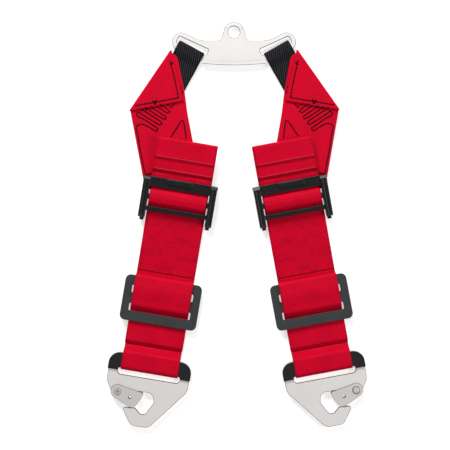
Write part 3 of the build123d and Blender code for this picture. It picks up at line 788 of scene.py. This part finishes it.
# Rows of black stitching across the sling's end, in the upper strap's own (u, v)
SERPENTINE = (
    ((7.9, -2.1), (10.0, -4.4), (11.7, -4.7), (12.7, -2.8)),
    ((2.3, -1.0), (7.5, -5.9), (8.4, -8.2), (6.5, -9.1), (-1.5, -1.6)),
    ((-6.3, -1.4), (3.7, -10.7), (4.4, -12.9), (2.3, -13.7), (-11.0, -1.2)),
    ((-15.0, -1.2), (-0.7, -14.7), (0.0, -16.7), (-2.1, -17.9), (-16.0, -5.1), (-17.7, -3.1),
     (-20.0, -4.7), (-18.5, -7.8), (-15.7, -9.0), (-5.1, -19.4), (-4.3, -21.4), (-6.3, -22.4),
     (-14.1, -15.2), (-17.2, -13.8), (-20.8, -14.2), (-22.6, -15.6), (-22.0, -22.5),
     (-22.5, -31.6), (-22.3, -54.0), (-21.9, -56.5), (-20.0, -57.1), (-14.6, -56.8)),
)
CHEVRON = ((6.1, -28.6), (17.4, -16.8), (18.5, -18.6), (17.9, -32.1))


# ---------------------------------------------------------------- operators

STITCH = {}                          # the stitch node group, once it is made
FINISH = {}                          # materials by the part or cloth that has them
# Parts with rounded edges: millimetres of rounding, the finish of their edges, and where they may lie
BROKEN = {
    # The dark steel on the edges is painted shade: it draws a dark outline round the plates and the
    # shade in the yoke lip's bend
    "yoke_plate": (0.4, "cut edge", (26.0, -23.6)),
    "hook_plate": (0.4, "cut edge", None),
    "hook_gate": (0.25, "cut edge", None),
    "gate_rivet": (0.15, "cut edge", None),
    "adjuster_frame": (0.35, None, None),
}


def webbing_options():
    return bpy.context.scene.harness_webbing


def stitch_options():
    return bpy.context.scene.harness_stitching


def body(side, name):
    return f"{side}_{name}"


class HARNESS_OT_finishes(bpy.types.Operator):
    """Make the procedural finishes of the cloth, thread, steel and plastic"""
    bl_idname = "harness.finishes"
    bl_label = "Make finishes"

    def execute(self, context):
        cloth, metal = webbing_options(), context.scene.harness_hardware
        FINISH["red"] = webbing_material(
            "strap_webbing", cloth.red, cloth.shade, cloth.width / 2)
        FINISH["dotted"] = webbing_material(
            "strap_webbing_dotted", cloth.red, cloth.shade, cloth.width / 2, dotted=True)
        # The sling's bright and dark blacks are a lit and a shaded copy of one black: painted shade
        # between its yarns and ribs
        FINISH["sling"] = webbing_material(
            "sling_webbing", [c * 2.2 for c in cloth.black], [c * 0.12 for c in cloth.black],
            cloth.sling_width / 2, ribs=2.0)
        FINISH["black thread"] = thread_material("thread_black", (0.012, 0.0015, 0.003))
        FINISH["red thread"] = thread_material("thread_red", (0.60, 0.03, 0.05))
        FINISH["dark red thread"] = thread_material("thread_dark_red", (0.16, 0.001, 0.006))
        FINISH["yoke_plate"] = steel_material("yoke_steel", [c * 1.1 for c in metal.steel], 0.30)
        # Painted shade: dark steel for rounded edges and side walls, drawing the dark outlines and the
        # shade in the yoke lip's bend
        FINISH["cut edge"] = steel_material("painted_edge_shade", (0.10, 0.095, 0.09), 0.5)
        FINISH["hook_plate"] = steel_material(
            "hook_steel", [c * 1.07 for c in metal.steel], 0.28, scratch=0.4)
        FINISH["hook_gate"] = steel_material("gate_steel", [c * 0.86 for c in metal.steel], 0.32)
        FINISH["gate_rivet"] = steel_material("rivet_steel", [c * 0.80 for c in metal.steel], 0.30)
        FINISH["gate_spring"] = steel_material("spring_steel", (0.45, 0.44, 0.43), 0.25)
        FINISH["adjuster_frame"] = plastic_material(
            "adjuster_black", [c * 0.6 for c in metal.black], 0.27, 0.36)
        FINISH["anchor_bar"] = plastic_material("anchor_bar_black", metal.black, 0.30, 0.4)
        FINISH["lock_bar"] = plastic_material("lock_bar_black", metal.black, 0.36, 0.4)
        FINISH["three_bar_slide"] = plastic_material("slide_black", (0.030, 0.033, 0.036), 0.5, 0.25)
        FINISH["hook_cover"] = plastic_material("cover_plastic", (0.006, 0.006, 0.007), 0.2, 0.5)
        return {"FINISHED"}


class HARNESS_OT_hardware(bpy.types.Operator):
    """Give the metal and plastic parts of the frame their finishes"""
    bl_idname = "harness.hardware"
    bl_label = "Finish hardware"

    def execute(self, context):
        for name, node in frame["nodes"].items():
            plain = name.split("_", 1)[1] if name.split("_", 1)[0] in SIDES else name
            if plain not in FINISH:
                continue
            if plain in BROKEN:
                width, edge, inside = BROKEN[plain]
                copy = broken_edges(
                    f"{name}_finished", node, width, FINISH[plain], FINISH[edge or plain], inside)
                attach(copy, node["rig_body"])
                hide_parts(name)
                continue
            node.data.materials.clear()
            node.data.materials.append(FINISH[plain])
        return {"FINISHED"}


class HARNESS_OT_slings(bpy.types.Operator):
    """Make the two black slings that hold the straps to the yoke"""
    bl_idname = "harness.slings"
    bl_label = "Make slings"

    def execute(self, context):
        options = webbing_options()
        cloth = sling_cloth(options)
        for side in SIDES:
            made = cloth.make(f"{side}_sling", side, FINISH["sling"])
            place_of(SLING, 0, -9.6, 2.0, side)
            place_of(SLING, 0, -14.2, 2.0, side)
            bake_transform(made)
            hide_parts(f"{side}_sling_loop", f"{side}_sling_tail")
        return {"FINISHED"}


class HARNESS_OT_upper_straps(bpy.types.Operator):
    """Make the two red upper straps with their folded ends and black stitching"""
    bl_idname = "harness.upper_straps"
    bl_label = "Make upper straps"

    def execute(self, context):
        options, thread = webbing_options(), stitch_options()
        cloth = upper_cloth(options)
        anchor = anchor_cloth(options)
        tree = cloth.tree()
        seams = [
            [(16.9, 33.4), (17.5, 23.8), (17.9, 13.5), (17.9, 3.6)],
            [(-18.6, 2.4), (-3.2, 2.2), (17.2, 2.2)],
            [(21.8, 10.8), (22.4, 6.6)],
        ]
        rows = [on_cloth(UPPER, tree, seam, 0.05) for seam in seams]
        rows += [on_cloth(UPPER, tree, curved(row, 2), 0.05) for row in SERPENTINE]
        rows.append(on_cloth(UPPER, tree, curved(CHEVRON, 1), 0.05))
        rows.append(on_cloth(UPPER, tree, [(18.2, 32.0), (16.2, 30.2), (17.4, 31.6)], 0.1))
        rows.append(on_cloth(UPPER, tree, [(-3.6, 3.2), (-1.4, 1.2), (-3.4, 1.2), (-1.6, 3.2)], 0.1))
        for side in SIDES:
            made = cloth.make(f"{side}_upper_webbing", side, FINISH["red"])
            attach(made, body(side, "upper"))
            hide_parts(f"{side}_upper_strap")
            turn = anchor.make(f"{side}_anchor_webbing", side, FINISH["red"])
            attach(turn, body(side, "upper"))
            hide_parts(f"{side}_anchor_loop")
            sewn = sew(f"{side}_upper_stitches", rows, side, FINISH["black thread"], thread,
                       STITCH["tree"])
            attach(sewn, body(side, "upper"))
        return {"FINISHED"}


class HARNESS_OT_pull_tabs(bpy.types.Operator):
    """Make the sewn free ends that come out over the adjusters"""
    bl_idname = "harness.pull_tabs"
    bl_label = "Make pull tabs"

    def execute(self, context):
        options, thread = webbing_options(), stitch_options()
        cloth = tab_cloth(options)
        tree = cloth.tree()
        half = options.width / 2 - 1.5
        hem = climbing(95.6, 3.6)[0]
        root = climbing(84.9, 2.4)[0]
        rows = [
            on_cloth(LEG, tree, [(-half, hem), (half, hem)], 0.0),
            on_cloth(LEG, tree, [(-half, root), (half, root)], 0.0),
        ]
        for side in SIDES:
            made = cloth.make(f"{side}_tab_webbing", side, FINISH["red"])
            place_of(LEG, 0, *climbing(79.5, 0.6), side)
            place_of(LEG, 0, *climbing(84.5, 0.6), side)
            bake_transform(made)
            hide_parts(f"{side}_pull_tab")
            sewn = sew(f"{side}_tab_stitches", rows, side, FINISH["red thread"], thread,
                       STITCH["tree"], 0.9, 0.8)
            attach(sewn, body(side, "tab"))
        return {"FINISHED"}


class HARNESS_OT_run_straps(bpy.types.Operator):
    """Make the working lengths between the adjusters and the slides"""
    bl_idname = "harness.run_straps"
    bl_label = "Make run straps"

    def execute(self, context):
        options, thread = webbing_options(), stitch_options()
        cloth = run_cloth(options)
        lock = lock_cloth(options)
        tree = cloth.tree()
        half = options.width / 2 - 2.5
        rows = [on_cloth(LEG, tree, [(-half, -63.2), (half, -63.2)], 0.0)]
        for side in SIDES:
            made = cloth.make(f"{side}_run_webbing", side, FINISH["dotted"])
            place_of(LEG, 0, -58.0, 0.6, side)
            place_of(LEG, 0, -62.0, 0.6, side)
            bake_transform(made)
            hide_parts(f"{side}_run_strap")
            sewn = sew(f"{side}_slide_stitches", rows, side, FINISH["dark red thread"], thread,
                       STITCH["tree"], 1.0, 0.9)
            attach(sewn, body(side, "lower"))
            turn = lock.make(f"{side}_lock_webbing", side, FINISH["red"])
            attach(turn, body(side, "adjuster"))
            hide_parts(f"{side}_lock_wrap")
        return {"FINISHED"}


class HARNESS_OT_lower_straps(bpy.types.Operator):
    """Make the webbing that turns through the slide and round the hook"""
    bl_idname = "harness.lower_straps"
    bl_label = "Make lower straps"

    def execute(self, context):
        options = webbing_options()
        wrap = wrap_cloth(options)
        hook = hook_cloth(options)
        for side in SIDES:
            made = wrap.make(f"{side}_slide_webbing", side, FINISH["red"])
            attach(made, body(side, "lower"))
            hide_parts(f"{side}_slide_wrap")
            turn = hook.make(f"{side}_hook_webbing", side, FINISH["red"])
            place_of(LEG, 0, -125.6, 1.2, side)
            place_of(LEG, 0, -130.4, 1.2, side)
            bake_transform(turn)
            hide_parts(f"{side}_lower_strap", f"{side}_hook_loop")
        return {"FINISHED"}


FLOOR_CORNERS = ((-1.6, -1.8, 0), (1.6, -1.8, 0), (1.6, 1.5, 0), (-1.6, 1.5, 0))
FLOOR_GAP = 0.15                     # keeps the straps' lowest points clear of the floor
LAMPS = (                            # name, place and size in metres, power in watts
    ("key", (-0.35, 1.05, 0.95), 0.7, 24.0),
    ("fill", (1.15, -0.2, 1.15), 0.9, 8.0),
)
CAMERA = (-0.0077, -0.1649, 1.069)   # straight above the middle of the straps


class HARNESS_OT_stage(bpy.types.Operator):
    """Lay the pale floor and set the soft light and the camera"""
    bl_idname = "harness.stage"
    bl_label = "Set stage"

    def execute(self, context):
        scene = context.scene
        mesh = bpy.data.meshes.new("floor")
        mesh.from_pydata(FLOOR_CORNERS, [], [(0, 1, 2, 3)])
        floor = bpy.data.objects.new("floor", mesh)
        floor.location.z = (FLOOR - FLOOR_GAP) * MM
        scene.collection.objects.link(floor)
        s = Shader("floor")
        mesh.materials.append(s.finish(
            Base_Color=(0.75, 0.75, 0.75, 1.0), Roughness=0.9, Specular_IOR_Level=0.1,
            Emission_Color=(1.0, 1.0, 1.0, 1.0), Emission_Strength=0.55))
        world = bpy.data.worlds.new("studio")
        world.use_nodes = True
        world.node_tree.nodes["Background"].inputs[0].default_value = (1.0, 1.0, 1.0, 1.0)
        world.node_tree.nodes["Background"].inputs[1].default_value = 0.34
        scene.world = world
        for name, place, size, power in LAMPS:
            light = bpy.data.lights.new(name, "AREA")
            light.shape, light.size, light.energy = "DISK", size, power
            lamp = bpy.data.objects.new(name, light)
            lamp.location = place
            aim = Vector((0, -0.165, 0)) - Vector(place)
            lamp.rotation_euler = aim.to_track_quat("-Z", "Y").to_euler()
            scene.collection.objects.link(lamp)
        lens = bpy.data.cameras.new("camera")
        lens.lens, lens.sensor_width = 100.0, 36.0
        camera = bpy.data.objects.new("camera", lens)
        camera.location = CAMERA
        scene.collection.objects.link(camera)
        scene.camera = camera
        scene.view_settings.view_transform = "Standard"
        return {"FINISHED"}


class HARNESS_PT_panel(bpy.types.Panel):
    """Lists the sizes, colours and steps of the strap set"""
    bl_label = "Racing harness"
    bl_idname = "HARNESS_PT_panel"
    bl_space_type = "VIEW_3D"
    bl_region_type = "UI"
    bl_category = "Harness"

    def draw(self, context):
        for group in (context.scene.harness_webbing, context.scene.harness_stitching,
                      context.scene.harness_hardware):
            box = self.layout.box()
            for key in group.__annotations__:
                box.prop(group, key)
        for operator in OPERATORS:
            self.layout.operator(operator.bl_idname)


GROUPS = (HARNESS_PG_webbing, HARNESS_PG_stitching, HARNESS_PG_hardware)
OPERATORS = (
    HARNESS_OT_finishes, HARNESS_OT_hardware, HARNESS_OT_slings, HARNESS_OT_upper_straps,
    HARNESS_OT_pull_tabs, HARNESS_OT_run_straps, HARNESS_OT_lower_straps, HARNESS_OT_stage,
)


def register():
    for kind in (*GROUPS, *OPERATORS, HARNESS_PT_panel):
        bpy.utils.register_class(kind)
    bpy.types.Scene.harness_webbing = bpy.props.PointerProperty(type=HARNESS_PG_webbing)
    bpy.types.Scene.harness_stitching = bpy.props.PointerProperty(type=HARNESS_PG_stitching)
    bpy.types.Scene.harness_hardware = bpy.props.PointerProperty(type=HARNESS_PG_hardware)


def unregister():
    del bpy.types.Scene.harness_webbing, bpy.types.Scene.harness_stitching
    del bpy.types.Scene.harness_hardware
    for kind in reversed((*GROUPS, *OPERATORS, HARNESS_PT_panel)):
        bpy.utils.unregister_class(kind)


def main():
    register()
    STITCH["tree"] = stitch_tree()
    for operator in OPERATORS:
        group, name = operator.bl_idname.split(".")
        getattr(getattr(bpy.ops, group), name)()


if __name__ == "__main__":
    main()
